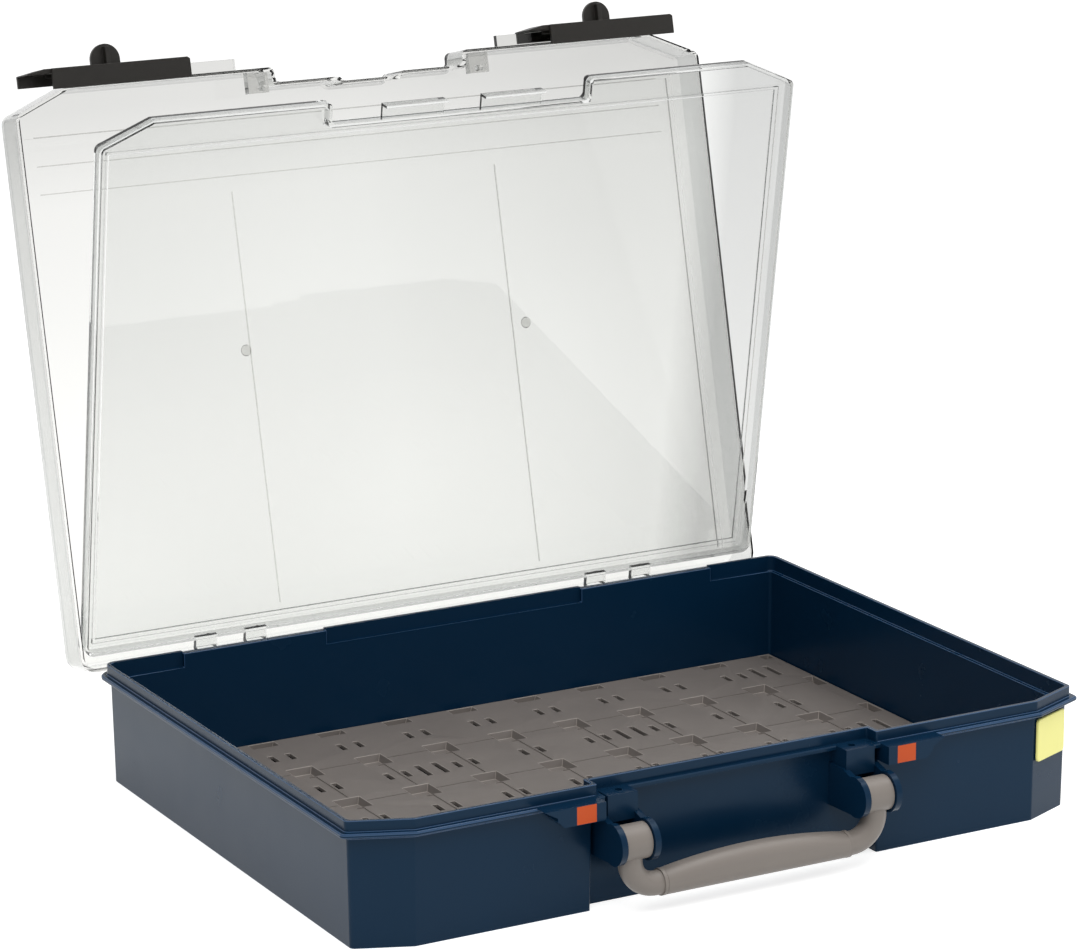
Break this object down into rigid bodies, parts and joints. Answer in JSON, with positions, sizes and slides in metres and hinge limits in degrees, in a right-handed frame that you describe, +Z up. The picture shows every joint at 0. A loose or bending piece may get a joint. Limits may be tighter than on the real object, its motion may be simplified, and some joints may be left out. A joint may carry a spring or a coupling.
{
  "type": "assortment case",
  "caption": "Shallow carry case with an open plastic tray, a slotted insert plate, clear hinged lids that nest, sliding latches and a drop handle.",
  "frame": {"origin": "centre of the tray's underside, in the plane that it rests on", "axes": "+X to the right, +Y to the back where the lids are hinged, +Z up; the handle is at -Y"},
  "size_m": [0.416, 0.4341, 0.3724],
  "materials": {
    "tray": "navy moulded polypropylene, satin outside",
    "insert": "warm grey moulded plate",
    "clear_lid": "clear polycarbonate with a slight grey tint",
    "latch": "near-black moulded latch",
    "handle": "warm grey moulded handle",
    "pin": "plain steel pin",
    "indicator": "orange plastic chip",
    "tag": "pale yellow plastic tag"
  },
  "bodies": {
    "base": {"base_tray": "tray", "insert_plate": "insert", "hinge_pin_left": "pin", "hinge_pin_right": "pin", "indicator_left": "indicator", "indicator_right": "indicator", "colour_tag": "tag"},
    "inner_lid": {"inner_lid": "clear_lid"},
    "outer_lid": {"outer_lid": "clear_lid"},
    "latch_left": {"latch_left": "latch"},
    "latch_right": {"latch_right": "latch"},
    "handle": {"handle_bow": "handle", "handle_grip": "handle"}
  },
  "joints": [
    {"name": "inner_lid_hinge", "type": "hinge", "parent": "base", "child": "inner_lid", "pos_m": [0, 0.1582, 0.0468], "axis": [1, 0, 0], "range_deg": [0, 81]},
    {"name": "outer_lid_hinge", "type": "hinge", "parent": "inner_lid", "child": "outer_lid", "pos_m": [0, 0.1582, 0.0468], "axis": [1, 0, 0], "range_deg": [0, 21.6]},
    {"name": "latch_left_slide", "type": "slide", "parent": "outer_lid", "child": "latch_left", "axis": [1, 0, 0], "range_m": [0, 0.026]},
    {"name": "latch_right_slide", "type": "slide", "parent": "outer_lid", "child": "latch_right", "axis": [-1, 0, 0], "range_m": [0, 0.0175]},
    {"name": "handle_pivot", "type": "hinge", "parent": "base", "child": "handle", "pos_m": [0, -0.1622, 0.0375], "axis": [-1, 0, 0], "range_deg": [-30, 150]}
  ]
}
